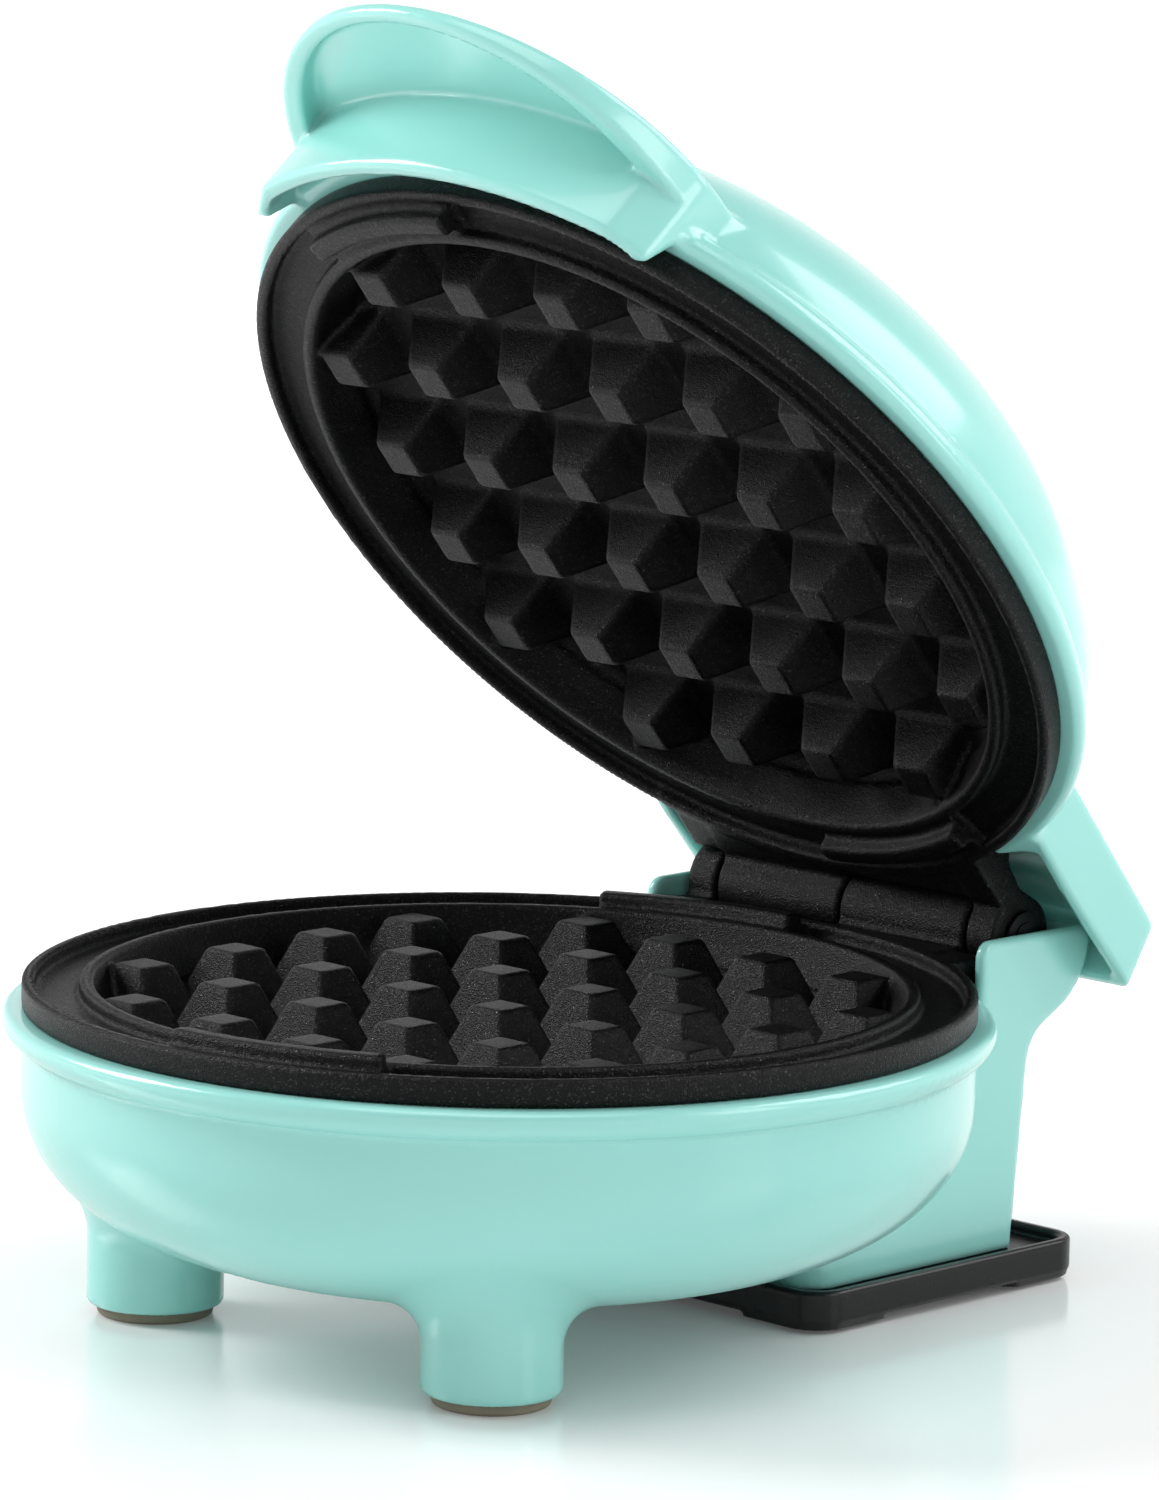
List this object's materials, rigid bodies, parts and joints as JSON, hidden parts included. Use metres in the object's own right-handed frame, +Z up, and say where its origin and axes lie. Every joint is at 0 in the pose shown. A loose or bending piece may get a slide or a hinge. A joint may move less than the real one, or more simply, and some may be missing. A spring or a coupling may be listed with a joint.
{
  "type": "mini waffle maker",
  "caption": "Small round waffle maker standing open: bowl base on front feet and a cord-wrap stand, domed lid with a jutting handle, two non-stick grid plates on a pinned hinge.",
  "frame": {"origin": "on the floor under the middle of the bounding box of the waffle maker as it stands open", "axes": "+Z up, +Y from the handle towards the hinge, +X to the right-hand side, along the hinge pin"},
  "size_m": [0.1254, 0.1482, 0.1675],
  "materials": {
    "mint_shell": "glossy pale mint green",
    "nonstick": "charcoal non-stick coating with fine flecks",
    "black_plastic": "matte black",
    "pad_rubber": "grey-brown rubber",
    "zinc_steel": "bright zinc-plated steel",
    "black_steel": "black-oxide steel",
    "element_steel": "heat-darkened steel tube",
    "shield_sheet": "bright rolled sheet",
    "ceramic": "cream",
    "lead_insulation": "off-white silicone insulation",
    "sleeve_braid": "grey braided sleeve",
    "amber_lens": "amber, translucent",
    "lamp_glass": "clear glass"
  },
  "bodies": {
    "base": {"base_shell": "mint_shell", "left_foot_pad": "pad_rubber", "right_foot_pad": "pad_rubber", "cord_wrap_base": "black_plastic", "cord_base_pads": "pad_rubber", "cord_base_screws": "zinc_steel", "cord_gland": "black_plastic", "terminal_block": "ceramic", "base_leads": "lead_insulation", "lower_plate": "nonstick", "lower_plate_screws": "zinc_steel", "lower_heat_shield": "shield_sheet", "lower_element": "element_steel", "lower_element_clamps": "zinc_steel", "lower_clamp_screws": "zinc_steel", "thermostat": "ceramic", "thermal_fuse": "zinc_steel", "hinge_pin": "black_steel", "hinge_clip": "black_steel"},
    "lid": {"lid_shell": "mint_shell", "upper_plate": "nonstick", "upper_heat_shield": "shield_sheet", "upper_element": "element_steel", "upper_element_clamps": "zinc_steel", "upper_clamp_screws": "zinc_steel", "lead_sleeve": "sleeve_braid", "lid_leads": "lead_insulation", "indicator_lens": "amber_lens", "indicator_lamp": "lamp_glass", "lamp_holder": "ceramic"}
  },
  "joints": [
    {"name": "lid_hinge", "type": "hinge", "parent": "base", "child": "lid", "pos_m": [0, 0.05695, 0.0447], "axis": [-1, 0, 0], "range_deg": [-50.6, 45]}
  ]
}
